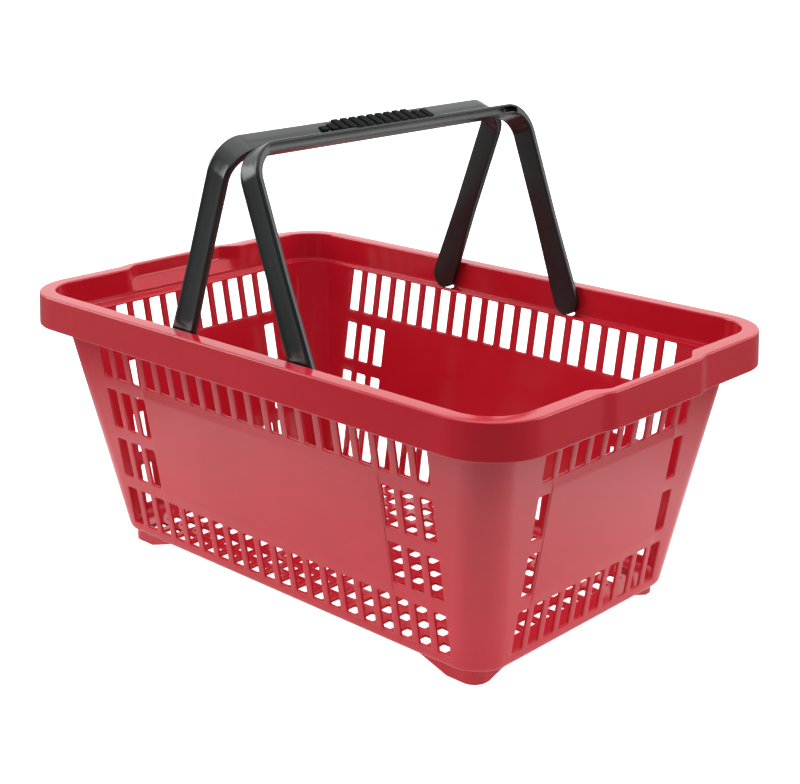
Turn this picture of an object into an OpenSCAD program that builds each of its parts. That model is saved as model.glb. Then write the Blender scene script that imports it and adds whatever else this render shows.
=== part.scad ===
// Supermarket hand basket: one tapered slotted tub with a deep hollow rim, and
// two identical U-shaped carry handles that pivot inside the rim.
// Millimetres. +Z up, X along the length, Y across the width.
// The origin is at the bottom centre, on the surface the four feet stand on.

/* [Basket body] */
// Length over the rim, without the middle bulge of each end
rim_len = 456; // [380:2:540]
// Width over the rim
rim_wid = 295; // [240:1:340]
// Height from the standing surface to the top of the rim
body_h = 193.6; // [150:0.1:260]
// Length of the tub just under the ledge, over the outside
wall_len = 414.4; // [340:0.1:500]
// Width of the tub just under the ledge, over the outside
wall_wid = 260.4; // [200:0.1:310]
// Draft of all four walls, measured from the vertical
draft = 9.4; // [4:0.1:14]
// Wall and floor thickness
wall_t = 2.2; // [1.6:0.1:4]
// Outside radius of the upright corners of the tub
corner_r = 24; // [14:1:40]
// Outside radius of the rounded bottom edge
edge_r = 6; // [3:0.5:9]

/* [Rim] */
// Outside radius of the rim corners
rim_r = 42; // [25:1:60]
// Width of the flat lip on top, from the inner band to the skirt
lip_w = 12.7; // [9:0.1:18]
// Height of the underside of the skirt above the standing surface
skirt_z = 170.1; // [140:0.1:185]
// Height of the top of the inner ledge
ledge_z = 172.2; // [150:0.1:185]
// Thickness of the ledge
ledge_t = 1.6; // [1.2:0.1:3]
// Outward shift of the middle of each end rim
bulge = 3; // [0:0.5:6]
// Half width of the shifted middle, where it is fully out
bulge_in = 42; // [25:1:60]
// Half width of the shifted middle, where it starts
bulge_out = 57; // [30:1:80]
// Depth of the finger pocket in each end band
pocket_d = 8; // [4:0.5:10]
// Height of the upper edge of the pocket's sloped floor
pocket_z = 183.1; // [178:0.1:188]
// Height of the lower edge of the pocket's sloped floor
pocket_low_z = 174.7; // [173:0.1:178]
// Thickness of the stiffening ribs hidden in the rim
rib_t = 1.6; // [1:0.1:3]
// Spacing of the ribs along the long sides
rib_pitch = 42; // [30:1:60]
// Chamfer of the lip edges
lip_cut = 1.2; // [0.4:0.1:2]
// Width of the opening in the band and the ledge under each pivot
window_w = 11; // [6:0.5:20]
// Height of the top of that opening
window_top = 175.6; // [173:0.1:178]
// Gap between that opening and the outside of the wall, in the ledge
window_gap = 0.6; // [0.3:0.1:2]

/* [Slots] */
// Slots in one full row of a long wall
long_cols = 20; // [10:2:26]
// Slots in one full row of an end wall
end_cols = 10; // [4:2:16]
// Columns kept beside the blank panel at each side of a long wall
long_keep = 3; // [1:1:6]
// Columns kept beside the blank panel at each side of an end wall
end_keep = 1; // [1:1:4]
// Spacing of the slots along the long walls
long_pitch = 16; // [12:0.1:20]
// Spacing of the slots along the end walls
end_pitch = 15.7; // [12:0.1:20]
// Slot width
slot_w = 10; // [5:0.1:12]
// Slot height, in the three lower rows
slot_h = 29.5; // [20:0.5:40]
// Vertical spacing of the slot rows
row_pitch = 39.8; // [30:0.1:50]
// Height of the underside of the lowest slots
slot_z = 18.6; // [12:0.1:30]
// How far the blank panels stand out from the walls
panel_t = 0.6; // [0.4:0.1:2]
// Margin from a blank panel to the nearest slot
panel_gap = 1.2; // [0.4:0.1:3]

/* [Floor and feet] */
// Width of the square floor holes
hole_w = 10; // [4:0.5:12]
// Floor holes along the length
hole_cols = 20; // [10:2:26]
// Floor holes across the width
hole_rows = 12; // [6:2:18]
// Height of the floor above the standing surface
foot_h = 9.3; // [4:0.1:14]
// Thickness of the foot ribs
foot_t = 3; // [2:0.5:6]
// Length over the feet
foot_len = 343; // [300:1:400]
// Width over the feet
foot_wid = 195; // [150:1:260]
// Outside radius of the feet
foot_r = 10; // [5:0.5:16]
// Reach of each foot along the long side, at the standing surface
foot_reach_x = 24; // [15:1:60]
// Reach of each foot along the end, at the standing surface
foot_reach_y = 13; // [8:1:40]
// Length of the sloped end of each foot
foot_slope = 27; // [5:1:40]

/* [Handles] */
// Distance of each pivot from the middle of the basket
pivot_x = 58.9; // [45:0.1:75]
// Height of the pivots
pivot_z = 183.1; // [178:0.1:188]
// Lean of each raised handle towards the other
lean = 20.2; // [10:0.1:30]
// Pivot to the top face of the grip bar
leg_len = 145.8; // [110:0.1:160]
// Width of the strap, in the bar, the bends and the upper legs
strap_w = 17.8; // [14:0.1:26]
// Width of the legs at the pivots
leg_w = 21; // [16:0.1:26]
// Length over which the legs narrow to the strap width
leg_taper = 60; // [20:1:100]
// Thickness of the legs
strap_t = 4.8; // [3.5:0.1:8]
// Distance of the outer faces of the legs from the middle
leg_y = 133.3; // [110:0.1:150]
// Outside radius of the bends
bend_r = 22; // [12:0.5:40]
// Thickness of the grip bar
bar_t = 6.6; // [5:0.1:14]
// Depth of the shallow channel along the legs and the bar
channel_d = 0.8; // [0.3:0.1:2]
// Width of the shallow channel
channel_w = 10; // [6:0.5:16]
// Depth of the groove in the outer side of the bar
groove_d = 6; // [2:0.5:12]
// Height of the groove in the outer side of the bar
groove_h = 2.6; // [1.5:0.1:6]
// Thickness of the flange above the groove
groove_top = 2.2; // [1:0.1:5]
// Distance from each end of the groove to the bend
groove_end = 2; // [1:0.5:10]
// Grip ribs on each bar
grip_n = 13; // [6:1:16]
// Spacing of the grip ribs
grip_pitch = 8.3; // [5:0.1:12]
// Length of one grip rib along the bar
grip_w = 6.2; // [3:0.1:8]
// Shift of the row along the bar, towards one end
grip_off = -3.2; // [-10:0.1:10]
// Distance from the middle of the bar to the inner ends of the ribs
grip_reach = 5; // [3:0.1:8]
// Height of the grip ribs above the bar
grip_h = 1.2; // [0.5:0.1:3]
// Margin from the grip ribs to the outer edge of the bar
grip_in = 0.8; // [0.5:0.1:3]
// Ribs at each end of the row that are shorter
grip_short = 2; // [1:1:4]
// Share of the length taken off the last rib
grip_cut = 0.4; // [0:0.05:0.8]
// Radius of the pivot stud
stud_r = 4; // [2.5:0.1:6]
// Radial clearance of the stud in its hole
stud_fit = 0.06; // [0.02:0.01:0.1]
// Radius of the snap head on the stud
head_r = 5.4; // [4.5:0.1:7]
// Length of the snap head
head_t = 1.5; // [0.8:0.1:3]
// Radius of the boss between the leg and the band
boss_r = 7; // [5:0.5:10]
// Thickness of the boss
boss_t = 1.2; // [0.5:0.1:1.5]

/* [Hidden] */
fn_big = 96;
fn_small = 48;
tan_d = tan(draft);
cx = rim_len / 2 - rim_r;              // centre of the rim corners
cy = rim_wid / 2 - rim_r;
band_r = rim_r - lip_w;                // inner face of the band, from that centre
ledge_lo = ledge_z - ledge_t;          // underside of the ledge and top of the walls
tilt = atan(tan_d * sqrt(2));          // lean of the corner axis
span = acos(pow(sin(draft), 2));       // angle swept by one corner
edge_zc = foot_h + edge_r;             // centre of the bottom edge rounding
edge_zt = edge_zc - edge_r * sin(draft);
floor_x = wx(edge_zt) - edge_r * cos(draft);   // flat floor, half length
floor_y = wy(edge_zt) - edge_r * cos(draft);   // flat floor, half width
floor_r = corner_r - edge_r;
top_h = ledge_lo - slot_z - 3 * row_pitch;     // height of the top row of slots
dir_s = leg_len - bend_r;              // end of the straight part of a leg
bar_y = leg_y - bend_r;                // end of the straight part of the bar
bend_in_r = bend_r - bar_t;            // inside radius of the bends
in_y = leg_y - strap_t - bend_in_r;    // centre of the inside of the bend
grip_len = (grip_n - 1) * grip_pitch + grip_w;
head_y = rim_wid / 2 - lip_w + wall_t + 0.6;   // start of the snap head, past the band
wall_end_y = wy(ledge_lo) - wall_t / cos(draft);   // inside of the walls under the ledge
wall_end_x = wx(ledge_lo) - wall_t / cos(draft);
far = 600;                             // half-space cutter

// Outside half length and half width of the tub at height z
function wx(z) = wall_len / 2 - (ledge_z - z) * tan_d;
function wy(z) = wall_wid / 2 - (ledge_z - z) * tan_d;

// Lay a drawing (x, height) onto the outside of the +Y wall, thickness inwards
module on_wall(half_wid, depth, out = 0) {
  translate([0, half_wid, ledge_z]) rotate([90 - draft, 0, 0])
    translate([0, 0, -out]) linear_extrude(height = depth) children();
}

// Height z as a distance up the drafted wall from the ledge line
function up(z) = (z - ledge_z) / cos(draft);

// Slots of one wall as a drawing
module slots(cols, keep, pitch) {
  for (row = [0:3], c = [0:cols - 1])
    if (row == 0 || row == 3 || c < keep || c >= cols - keep)
      translate([(c - (cols - 1) / 2) * pitch - slot_w / 2, up(slot_z + row * row_pitch)])
        square([slot_w, (row == 3 ? top_h + 2 : slot_h) / cos(draft)]);
}

// Half outline of the flat part of a wall: ends on the lines where the corners start
function seam(half, z) = half - (ledge_z - z) * tan_d
  - corner_r / cos(draft) + corner_r * sin(draft) * tan_d;

// One +Y wall: drafted sheet with its slots
module wall(half_len, half_wid, cols, keep, pitch) {
  intersection() {
    on_wall(half_wid, wall_t) difference() {
      polygon([[-seam(half_len, edge_zt), up(edge_zt)], [seam(half_len, edge_zt), up(edge_zt)],
               [seam(half_len, ledge_z), 0], [-seam(half_len, ledge_z), 0]]);
      slots(cols, keep, pitch);
    }
    translate([-far, 0, -far + ledge_lo]) cube([2 * far, far, far]);
  }
}

// Rounded bottom edge below the +Y wall, between the corners
module edge_run(half_x, half_y) {
  translate([floor_r - half_x, half_y, edge_zc]) rotate([90, 0, 90])
    linear_extrude(height = 2 * (half_x - floor_r)) edge_section();
}

// Rounded bottom edge seen along the wall: outwards to the right
module edge_section() {
  intersection() {
    difference() {
      circle(r = edge_r, $fn = fn_small);
      circle(r = edge_r - wall_t, $fn = fn_small);
    }
    polygon([[0, 0], [2 * edge_r * cos(draft), -2 * edge_r * sin(draft)],
             [2 * edge_r, -2 * edge_r], [0, -2 * edge_r]]);
  }
}

// Upright corner between the +X and +Y walls
module corner() {
  difference() {
    intersection() {
      translate([wx(0) - corner_r / cos(draft), wy(0) - corner_r / cos(draft), 0])
        rotate(a = tilt, v = [-1, 1, 0])
          translate([0, 0, -corner_r]) linear_extrude(height = body_h + 2 * corner_r)
            corner_section();
      translate([0, 0, edge_zt - 1]) cube([far, far, ledge_lo - edge_zt + 1]);
    }
    translate([floor_x - floor_r, floor_y - floor_r, edge_zc]) rotate_extrude($fn = fn_big)
      translate([floor_r, 0]) polygon([[-floor_r, 0.02], [0, 0.02],
        3 * edge_r * [cos(draft), -sin(draft)], 3 * edge_r * [1, -1], [-floor_r, -3 * edge_r]]);
  }
}

// Rounded bottom edge of that corner
module edge_corner() {
  translate([floor_x - floor_r, floor_y - floor_r, edge_zc])
    rotate_extrude(angle = 90, $fn = fn_big) translate([floor_r, 0]) edge_section();
}

// Corner sheet seen along its own axis
module corner_section() {
  a0 = 45 - span / 2;
  a1 = 45 + span / 2;
  intersection() {
    difference() {
      circle(r = corner_r, $fn = fn_big);
      circle(r = corner_r - wall_t, $fn = fn_big);
    }
    polygon([[0, 0], 2 * corner_r * [cos(a0), sin(a0)], 2 * corner_r * [1, 1],
             2 * corner_r * [cos(a1), sin(a1)]]);
  }
}

// Raised blank panel between the slots of a +Y wall
module panel(half_wid, cols, keep, pitch) {
  half = ((cols - 1) / 2 - keep + 1) * pitch - slot_w / 2 - panel_gap;
  lo = slot_z + slot_h + panel_gap;
  hi = slot_z + 3 * row_pitch - panel_gap;
  on_wall(half_wid, panel_t, panel_t)
    translate([-half, up(lo)]) square([2 * half, (hi - lo) / cos(draft)]);
}

// Rim section without the ledge: band, lip and skirt, outwards to the right
module rim_section() {
  polygon([[0, ledge_lo], [wall_t, ledge_lo], [wall_t, body_h - wall_t],
           [lip_w - wall_t, body_h - wall_t], [lip_w - wall_t, skirt_z], [lip_w, skirt_z],
           [lip_w, body_h - lip_cut], [lip_w - lip_cut, body_h], [lip_cut, body_h],
           [0, body_h - lip_cut]]);
}

// Straight length of rim on the +Y side, from x = a to x = b
module rim_run(half_wid, a, b) {
  translate([a, half_wid - lip_w, 0]) rotate([90, 0, 90])
    linear_extrude(height = b - a) rim_section();
}

// Ledge on the +Y side, from the inside of the wall to the band
module ledge_run(half_wid, wall_in, half) {
  translate([-half, wall_in, ledge_lo]) cube([2 * half, half_wid - lip_w - wall_in, ledge_t]);
}

// Stiffening rib between band and skirt
module rim_rib(x, half_wid) {
  translate([x - rib_t / 2, half_wid - lip_w + wall_t, ledge_lo])
    cube([rib_t, lip_w - 2 * wall_t, body_h - wall_t - ledge_lo]);
}

// Long side of the rim, +Y
module rim_long() {
  difference() {
    union() {
      rim_run(rim_wid / 2, -cx, cx);
      for (k = [-4:4]) rim_rib(k * rib_pitch, rim_wid / 2);
    }
    for (s = [-1, 1]) translate([s * pivot_x, 0, 0]) {
      translate([0, rim_wid / 2 - lip_w - 1, pivot_z]) rotate([-90, 0, 0])
        cylinder(r = stud_r + stud_fit, h = wall_t + 2, $fn = fn_big);
      translate([-window_w / 2, rim_wid / 2 - lip_w - 0.5, ledge_lo - 1])
        cube([window_w, wall_t + 1, window_top - ledge_lo + 1]);
    }
  }
}

// Plan of the end rim between two outward offsets, following the bulged middle
module end_plan(lo, hi, lo_mid, hi_mid) {
  polygon([[-bulge_out, lo], [-bulge_in, lo_mid], [bulge_in, lo_mid], [bulge_out, lo],
           [bulge_out, hi], [bulge_in, hi_mid], [-bulge_in, hi_mid], [-bulge_out, hi]]);
}

// End of the rim, drawn on the +Y side and turned into place
module rim_end() {
  half = rim_len / 2;
  base = half - lip_w;
  for (s = [0, 1]) mirror([s, 0, 0]) {
    rim_run(half, bulge_out, cy);
    rim_rib(rib_pitch * 1.75, half);
  }
  // skirt
  translate([0, 0, skirt_z]) linear_extrude(height = body_h - lip_cut - skirt_z)
    end_plan(half - wall_t, half, half - wall_t + bulge, half + bulge);
  // lip, with a thinner top layer that leaves the edges chamfered
  translate([0, 0, body_h - wall_t]) linear_extrude(height = wall_t - lip_cut)
    end_plan(base, half, base + pocket_d, half + bulge);
  translate([0, 0, body_h - lip_cut]) linear_extrude(height = lip_cut)
    end_plan(base + lip_cut, half - lip_cut, base + pocket_d + lip_cut, half + bulge - lip_cut);
  // band behind the finger pocket
  translate([0, 0, pocket_low_z]) linear_extrude(height = body_h - lip_cut - pocket_low_z)
    end_plan(base, base + wall_t, base + pocket_d, base + pocket_d + wall_t);
  // low band in front of the pocket and the sloped floor between them
  translate([-bulge_out, base, ledge_lo])
    cube([2 * bulge_out, wall_t, pocket_low_z - ledge_lo]);
  intersection() {
    translate([-bulge_out, base, 0]) rotate([90, 0, 90]) linear_extrude(height = 2 * bulge_out)
      polygon([[0, pocket_low_z], [pocket_d, pocket_z], [pocket_d + wall_t, pocket_z],
               [pocket_d + wall_t, pocket_z - wall_t], [wall_t, pocket_low_z - wall_t],
               [0, pocket_low_z - wall_t]]);
    translate([0, 0, ledge_lo]) linear_extrude(height = body_h - ledge_lo)
      end_plan(base, base + wall_t, base, base + pocket_d + wall_t);
  }
}

// Corner of the rim between the +X and +Y sides
module rim_corner() {
  translate([cx, cy, 0]) rotate_extrude(angle = 90, $fn = fn_big)
    translate([band_r, 0]) rim_section();
}

// Corner of the ledge between the +X and +Y sides
module ledge_corner() {
  in_r = corner_r - wall_t;
  translate([0, 0, ledge_lo]) linear_extrude(height = ledge_t) difference() {
    intersection() {
      translate([cx, cy]) circle(r = band_r, $fn = fn_big);
      translate([cx, cy]) square(rim_r);
    }
    translate([wall_end_x - in_r, wall_end_y - in_r]) circle(r = in_r, $fn = fn_big);
  }
}

// Rounded rectangle, half sizes
module round_rect(hx, hy, r) {
  square([2 * (hx - r), 2 * hy], center = true);
  square([2 * hx, 2 * (hy - r)], center = true);
  for (sx = [-1, 1], sy = [-1, 1])
    translate([sx * (hx - r), sy * (hy - r)]) circle(r = r, $fn = fn_big);
}

// Foot rib under the +X +Y corner, with sloped ends
module foot() {
  reach_x = foot_reach_x + foot_slope;
  reach_y = foot_reach_y + foot_slope;
  intersection() {
    difference() {
      linear_extrude(height = foot_h) difference() {
        round_rect(foot_len / 2, foot_wid / 2, foot_r);
        round_rect(foot_len / 2 - foot_t, foot_wid / 2 - foot_t, foot_r - foot_t);
      }
      translate([foot_len / 2 - reach_x, 0, 0]) slope_cut();
      translate([0, foot_wid / 2 - reach_y, 0]) mirror([1, -1, 0]) slope_cut();
    }
    translate([foot_len / 2 - reach_x, foot_wid / 2 - reach_y, 0])
      cube([reach_x + 1, reach_y + 1, foot_h]);
  }
}

// Wedge removed from the end of a foot
module slope_cut() {
  rotate([90, 0, 0]) translate([0, 0, -far]) linear_extrude(height = 2 * far)
    polygon([[-1, -1], [foot_slope, -1], [foot_slope, 0], [0, foot_h - 0.5], [-1, foot_h - 0.5]]);
}

// Put a handle drawn upright (legs up +Z, pivot at the origin) in its raised place
module raised(side) {
  translate([side * pivot_x, 0, pivot_z]) rotate([0, -side * lean, 0])
    scale_side(side) children();
}

// The right handle is the left one turned half round
module scale_side(side) {
  rotate([0, 0, side > 0 ? 0 : 180]) children();
}

// Straight grip bar; +X is the outer side, away from the other handle
module bar() {
  difference() {
    translate([-strap_w / 2, -bar_y, leg_len - bar_t]) cube([strap_w, 2 * bar_y, bar_t]);
    translate([-channel_w / 2, -bar_y - 1, leg_len - channel_d])
      cube([channel_w, 2 * bar_y + 2, channel_d + 1]);
    translate([strap_w / 2 - groove_d, groove_end - bar_y, leg_len - groove_top - groove_h])
      cube([groove_d + 1, 2 * (bar_y - groove_end), groove_h]);
  }
}

// Grip pad in the channel, with ribs across it that stand above the bar. The ribs near the
// ends stop short of the outer side, so that the pads of both handles make one oval.
module grip() {
  long = grip_reach + strap_w / 2 - grip_in;
  translate([-channel_w / 2, grip_off - grip_len / 2, leg_len - channel_d])
    cube([channel_w, grip_len, channel_d]);
  for (k = [0:grip_n - 1]) {
    short = max(0, grip_short - min(k, grip_n - 1 - k)) / grip_short;
    y = grip_off + (k - (grip_n - 1) / 2) * grip_pitch - grip_w / 2;
    translate([-grip_reach, y, leg_len]) cube([long * (1 - grip_cut * short), grip_w, grip_h]);
  }
}

// Bend between the bar and the +Y leg
module bend() {
  difference() {
    translate([-strap_w / 2, 0, 0]) rotate([90, 0, 90]) linear_extrude(height = strap_w)
      difference() {
        intersection() {
          translate([bar_y, dir_s]) circle(r = bend_r, $fn = fn_big);
          translate([bar_y, dir_s]) square(bend_r + 1);
        }
        translate([in_y, dir_s]) circle(r = bend_in_r, $fn = fn_big);
        translate([bar_y - 1, dir_s - 1]) square([in_y - bar_y + 1, bend_in_r + 1]);
      }
    translate([-channel_w / 2, 0, 0]) rotate([90, 0, 90]) linear_extrude(height = channel_w)
      intersection() {
        difference() {
          translate([bar_y, dir_s]) circle(r = bend_r + 1, $fn = fn_big);
          translate([bar_y, dir_s]) circle(r = bend_r - channel_d, $fn = fn_big);
        }
        translate([bar_y - 1, dir_s - 1]) square(bend_r + 3);
      }
  }
}

// +Y leg with a rounded lower end
module leg() {
  difference() {
    translate([0, leg_y, 0]) rotate([90, 0, 0]) linear_extrude(height = strap_t) {
      circle(r = leg_w / 2, $fn = fn_big);
      polygon([[-leg_w / 2, 0], [leg_w / 2, 0], [strap_w / 2, leg_taper], [strap_w / 2, dir_s],
               [-strap_w / 2, dir_s], [-strap_w / 2, leg_taper]]);
    }
    translate([-channel_w / 2, leg_y - channel_d, 2 * boss_r])
      cube([channel_w, channel_d + 1, dir_s]);
  }
}

// Pivot stud of the +Y leg: boss against the leg, shank through the band, snap head
module pivot() {
  translate([0, leg_y, 0]) rotate([-90, 0, 0]) {
    cylinder(r = boss_r, h = boss_t, $fn = fn_small);
    cylinder(r = stud_r, h = head_y + head_t - leg_y, $fn = fn_big);
  }
  translate([0, head_y, 0]) rotate([-90, 0, 0])
    cylinder(r1 = head_r, r2 = stud_r, h = head_t, $fn = fn_small);
}

module basket_floor() {
  color([0.72, 0.10, 0.14]) translate([0, 0, foot_h]) linear_extrude(height = wall_t)
    difference() {
      round_rect(floor_x, floor_y, floor_r);
      for (i = [0:hole_cols - 1], j = [0:hole_rows - 1])
        translate([(i - (hole_cols - 1) / 2) * long_pitch, (j - (hole_rows - 1) / 2) * end_pitch])
          square(hole_w, center = true);
    }
}

module wall_back() {
  color([0.74, 0.11, 0.15]) wall(wall_len / 2, wall_wid / 2, long_cols, long_keep, long_pitch);
}
module wall_front() { mirror([0, 1, 0]) wall_back(); }
module wall_right() {
  color([0.74, 0.11, 0.15]) rotate([0, 0, -90])
    wall(wall_wid / 2, wall_len / 2, end_cols, end_keep, end_pitch);
}
module wall_left() { mirror([1, 0, 0]) wall_right(); }

module corner_back_right() { color([0.70, 0.10, 0.14]) corner(); }
module corner_front_right() { mirror([0, 1, 0]) corner_back_right(); }
module corner_back_left() { mirror([1, 0, 0]) corner_back_right(); }
module corner_front_left() { mirror([1, 0, 0]) corner_front_right(); }

module edge_back() { color([0.71, 0.10, 0.14]) edge_run(floor_x, floor_y); }
module edge_front() { mirror([0, 1, 0]) edge_back(); }
module edge_right() {
  color([0.71, 0.10, 0.14]) rotate([0, 0, -90]) edge_run(floor_y, floor_x);
}
module edge_left() { mirror([1, 0, 0]) edge_right(); }

module edge_corner_back_right() { color([0.69, 0.09, 0.13]) edge_corner(); }
module edge_corner_front_right() { mirror([0, 1, 0]) edge_corner_back_right(); }
module edge_corner_back_left() { mirror([1, 0, 0]) edge_corner_back_right(); }
module edge_corner_front_left() { mirror([1, 0, 0]) edge_corner_front_right(); }

module panel_back() {
  color([0.78, 0.13, 0.17]) panel(wall_wid / 2, long_cols, long_keep, long_pitch);
}
module panel_front() { mirror([0, 1, 0]) panel_back(); }
module panel_right() {
  color([0.78, 0.13, 0.17]) rotate([0, 0, -90]) panel(wall_len / 2, end_cols, end_keep, end_pitch);
}
module panel_left() { mirror([1, 0, 0]) panel_right(); }

module rim_back() { color([0.80, 0.13, 0.18]) rim_long(); }
module rim_front() { mirror([0, 1, 0]) rim_back(); }
module rim_right() { color([0.80, 0.13, 0.18]) rotate([0, 0, -90]) rim_end(); }
module rim_left() { mirror([1, 0, 0]) rim_right(); }

module rim_corner_back_right() { color([0.76, 0.12, 0.16]) rim_corner(); }
module rim_corner_front_right() { mirror([0, 1, 0]) rim_corner_back_right(); }
module rim_corner_back_left() { mirror([1, 0, 0]) rim_corner_back_right(); }
module rim_corner_front_left() { mirror([1, 0, 0]) rim_corner_front_right(); }

module ledge_back() {
  color([0.66, 0.09, 0.13]) difference() {
    ledge_run(rim_wid / 2, wall_end_y, cx);
    for (s = [-1, 1])
      translate([s * pivot_x - window_w / 2, wall_wid / 2 + window_gap, ledge_lo - 1])
        cube([window_w, lip_w, ledge_t + 2]);
  }
}
module ledge_front() { mirror([0, 1, 0]) ledge_back(); }
module ledge_right() {
  color([0.66, 0.09, 0.13]) rotate([0, 0, -90]) ledge_run(rim_len / 2, wall_end_x, cy);
}
module ledge_left() { mirror([1, 0, 0]) ledge_right(); }

module ledge_corner_back_right() { color([0.64, 0.09, 0.13]) ledge_corner(); }
module ledge_corner_front_right() { mirror([0, 1, 0]) ledge_corner_back_right(); }
module ledge_corner_back_left() { mirror([1, 0, 0]) ledge_corner_back_right(); }
module ledge_corner_front_left() { mirror([1, 0, 0]) ledge_corner_front_right(); }

module foot_back_right() { color([0.60, 0.08, 0.12]) foot(); }
module foot_front_right() { mirror([0, 1, 0]) foot_back_right(); }
module foot_back_left() { mirror([1, 0, 0]) foot_back_right(); }
module foot_front_left() { mirror([1, 0, 0]) foot_front_right(); }

module handle_left_bar() { color([0.20, 0.22, 0.22]) raised(-1) bar(); }
module handle_left_grip() { color([0.10, 0.11, 0.11]) raised(-1) grip(); }
module handle_left_bend_front() { color([0.22, 0.24, 0.24]) raised(-1) bend(); }
module handle_left_bend_back() { color([0.22, 0.24, 0.24]) raised(-1) mirror([0, 1, 0]) bend(); }
module handle_left_leg_front() { color([0.18, 0.20, 0.20]) raised(-1) leg(); }
module handle_left_leg_back() { color([0.18, 0.20, 0.20]) raised(-1) mirror([0, 1, 0]) leg(); }
module handle_left_pivot_front() { color([0.15, 0.16, 0.16]) raised(-1) pivot(); }
module handle_left_pivot_back() { color([0.15, 0.16, 0.16]) raised(-1) mirror([0, 1, 0]) pivot(); }

module handle_right_bar() { color([0.20, 0.22, 0.22]) raised(1) bar(); }
module handle_right_grip() { color([0.10, 0.11, 0.11]) raised(1) grip(); }
module handle_right_bend_back() { color([0.22, 0.24, 0.24]) raised(1) bend(); }
module handle_right_bend_front() { color([0.22, 0.24, 0.24]) raised(1) mirror([0, 1, 0]) bend(); }
module handle_right_leg_back() { color([0.18, 0.20, 0.20]) raised(1) leg(); }
module handle_right_leg_front() { color([0.18, 0.20, 0.20]) raised(1) mirror([0, 1, 0]) leg(); }
module handle_right_pivot_back() { color([0.15, 0.16, 0.16]) raised(1) pivot(); }
module handle_right_pivot_front() { color([0.15, 0.16, 0.16]) raised(1) mirror([0, 1, 0]) pivot(); }

basket_floor();
wall_front();
wall_back();
wall_left();
wall_right();
corner_front_left();
corner_front_right();
corner_back_left();
corner_back_right();
edge_front();
edge_back();
edge_left();
edge_right();
edge_corner_front_left();
edge_corner_front_right();
edge_corner_back_left();
edge_corner_back_right();
panel_front();
panel_back();
panel_left();
panel_right();
rim_front();
rim_back();
rim_left();
rim_right();
rim_corner_front_left();
rim_corner_front_right();
rim_corner_back_left();
rim_corner_back_right();
ledge_front();
ledge_back();
ledge_left();
ledge_right();
ledge_corner_front_left();
ledge_corner_front_right();
ledge_corner_back_left();
ledge_corner_back_right();
foot_front_left();
foot_front_right();
foot_back_left();
foot_back_right();
handle_left_bar();
handle_left_grip();
handle_left_bend_front();
handle_left_bend_back();
handle_left_leg_front();
handle_left_leg_back();
handle_left_pivot_front();
handle_left_pivot_back();
handle_right_bar();
handle_right_grip();
handle_right_bend_front();
handle_right_bend_back();
handle_right_leg_front();
handle_right_leg_back();
handle_right_pivot_front();
handle_right_pivot_back();
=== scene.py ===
import math

import bmesh
import bpy
from mathutils import Matrix, Vector
from mathutils.geometry import delaunay_2d_cdt


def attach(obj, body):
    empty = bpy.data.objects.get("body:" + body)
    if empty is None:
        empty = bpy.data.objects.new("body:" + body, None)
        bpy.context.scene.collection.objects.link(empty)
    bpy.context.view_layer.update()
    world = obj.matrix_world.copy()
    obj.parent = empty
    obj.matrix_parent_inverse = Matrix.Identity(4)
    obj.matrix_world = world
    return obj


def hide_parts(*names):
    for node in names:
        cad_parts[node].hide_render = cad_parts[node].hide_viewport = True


MM = 0.001
FULL_TURN = 2 * math.pi

# ---------------------------------------------------------------- tub sizes, mm
LEDGE_Z, LEDGE_LOW = 172.2, 170.6    # top and underside of the ledge the folded handles lie on
WALL_X, WALL_Y = 207.2, 130.2        # outside of the walls at the ledge
DRAFT = math.radians(9.4)            # lean of the walls
SLOPE = math.tan(DRAFT)
WALL_T = 2.23                        # wall thickness, measured level
WALL_TOP = 171.6                     # the walls end inside the ledge
CORNER_R = 24.0
CORNER_STEPS = 16
FLOOR_Z, FLOOR_T = 9.3, 2.2
EDGE_R = 6.0                         # rounding between the walls and the floor
EDGE_STEPS = 7

SLOT_W, SLOT_R = 10.0, 1.1
SLOT_SOFT, SLOT_SOFT_MID = 0.9, 0.27  # rounding of the slot edges
SLOT_ROWS = ((18.6, 48.1), (58.4, 87.9), (98.2, 127.7), (138.0, 170.4))
PANEL_ROWS = (1, 2)                  # rows in which the blank panel takes the place of slots
LONG = dict(cols=20, keep=3, pitch=16.0, panel_half=113.6)
END = dict(cols=10, keep=1, pitch=15.7, panel_half=64.3)
PANEL_LOW, PANEL_HIGH, PANEL_R = 49.4, 136.6, 0.8
# the raised panel: (depth, sideways growth, growth up and down); it fades out up and down
PANEL_STEPS = ((0, .3, .3), (-.08, .12, -1.2), (-.25, .05, -3.4), (-.45, -.05, -5.6),
               (-.55, -.3, -7.4))

FLOOR_HOLE_HALF, FLOOR_HOLE_R = 5.0, 0.7
FLOOR_HOLE_ROWS = 12
FLOOR_HOLE_SOFT, FLOOR_HOLE_SOFT_MID = 0.6, 0.15
HOLE_STEPS = 3                       # steps round each corner of a small opening

# ---------------------------------------------------------------- rim sizes, mm
BAND_X, BAND_Y, BAND_T = 215.3, 134.8, 2.2   # inside of the band, and its thickness
RIM_CX, RIM_CY = 186.0, 105.5        # centres of the rim corners
RIM_TOP = 193.5
SKIRT_Z = 170.1                      # lower edge of the skirt
POCKET_DEPTH = 8.3                   # finger pocket in each end band
POCKET_HALF, POCKET_RUN = 57.5, 17.5
BULGE_TOP, BULGE_LOW = 2.9, 3.0      # push of the skirt in the middle of each end
BULGE_HALF, BULGE_RUN = 57.0, 15.0
OPENING_HALF = 5.5                   # half the width of the openings under the pivots
STUD_HOLE_R, STUD_HOLE_STEPS = 4.06, 32

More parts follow.
